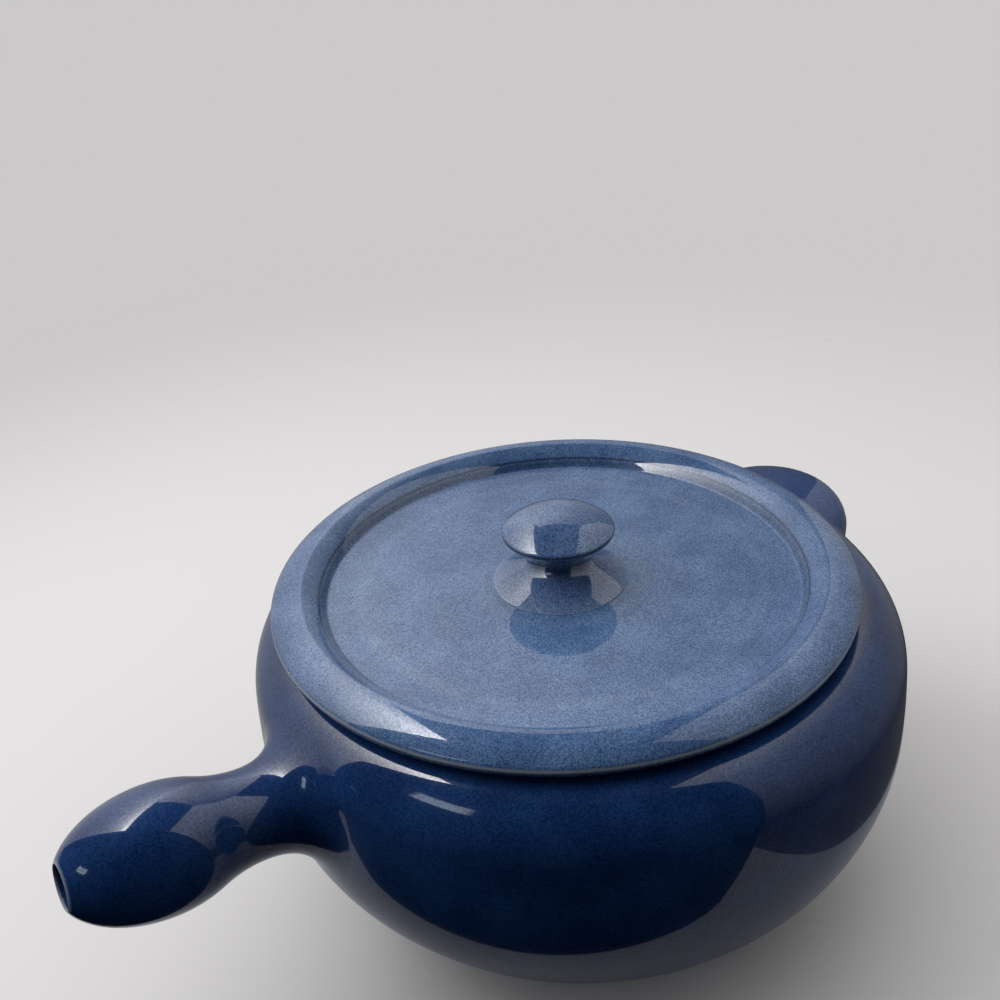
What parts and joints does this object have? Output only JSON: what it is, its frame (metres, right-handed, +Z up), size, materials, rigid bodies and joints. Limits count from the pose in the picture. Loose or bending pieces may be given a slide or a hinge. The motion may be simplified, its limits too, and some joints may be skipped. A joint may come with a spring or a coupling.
{
  "type": "casserole dish",
  "caption": "Round glazed stoneware casserole with a hollow side handle, a lug opposite it and a dished lift-off lid with a mushroom knob.",
  "frame": {"origin": "centre of the foot ring's underside, on the pot's axis", "axes": "+Z up along the pot's axis, side handle towards -X, lug towards +X"},
  "size_m": [0.3123, 0.2272, 0.1411],
  "materials": {
    "pot_glaze": "glossy dark blue glaze with a fine pale speckle",
    "handle_glaze": "glossy dark blue glaze, paler where it runs thin",
    "lid_glaze": "glossy blue glaze with a dense fine speckle",
    "knob_glaze": "glossy dark blue glaze with a fine speckle"
  },
  "bodies": {
    "pot": {"pot": "pot_glaze", "side_handle": "handle_glaze", "lug_handle": "handle_glaze"},
    "lid": {"lid": "lid_glaze", "lid_knob": "knob_glaze"}
  },
  "joints": [
    {"name": "lid_lift", "type": "slide", "parent": "pot", "child": "lid", "axis": [0, 0, 1], "range_m": [0, 0.15]}
  ]
}
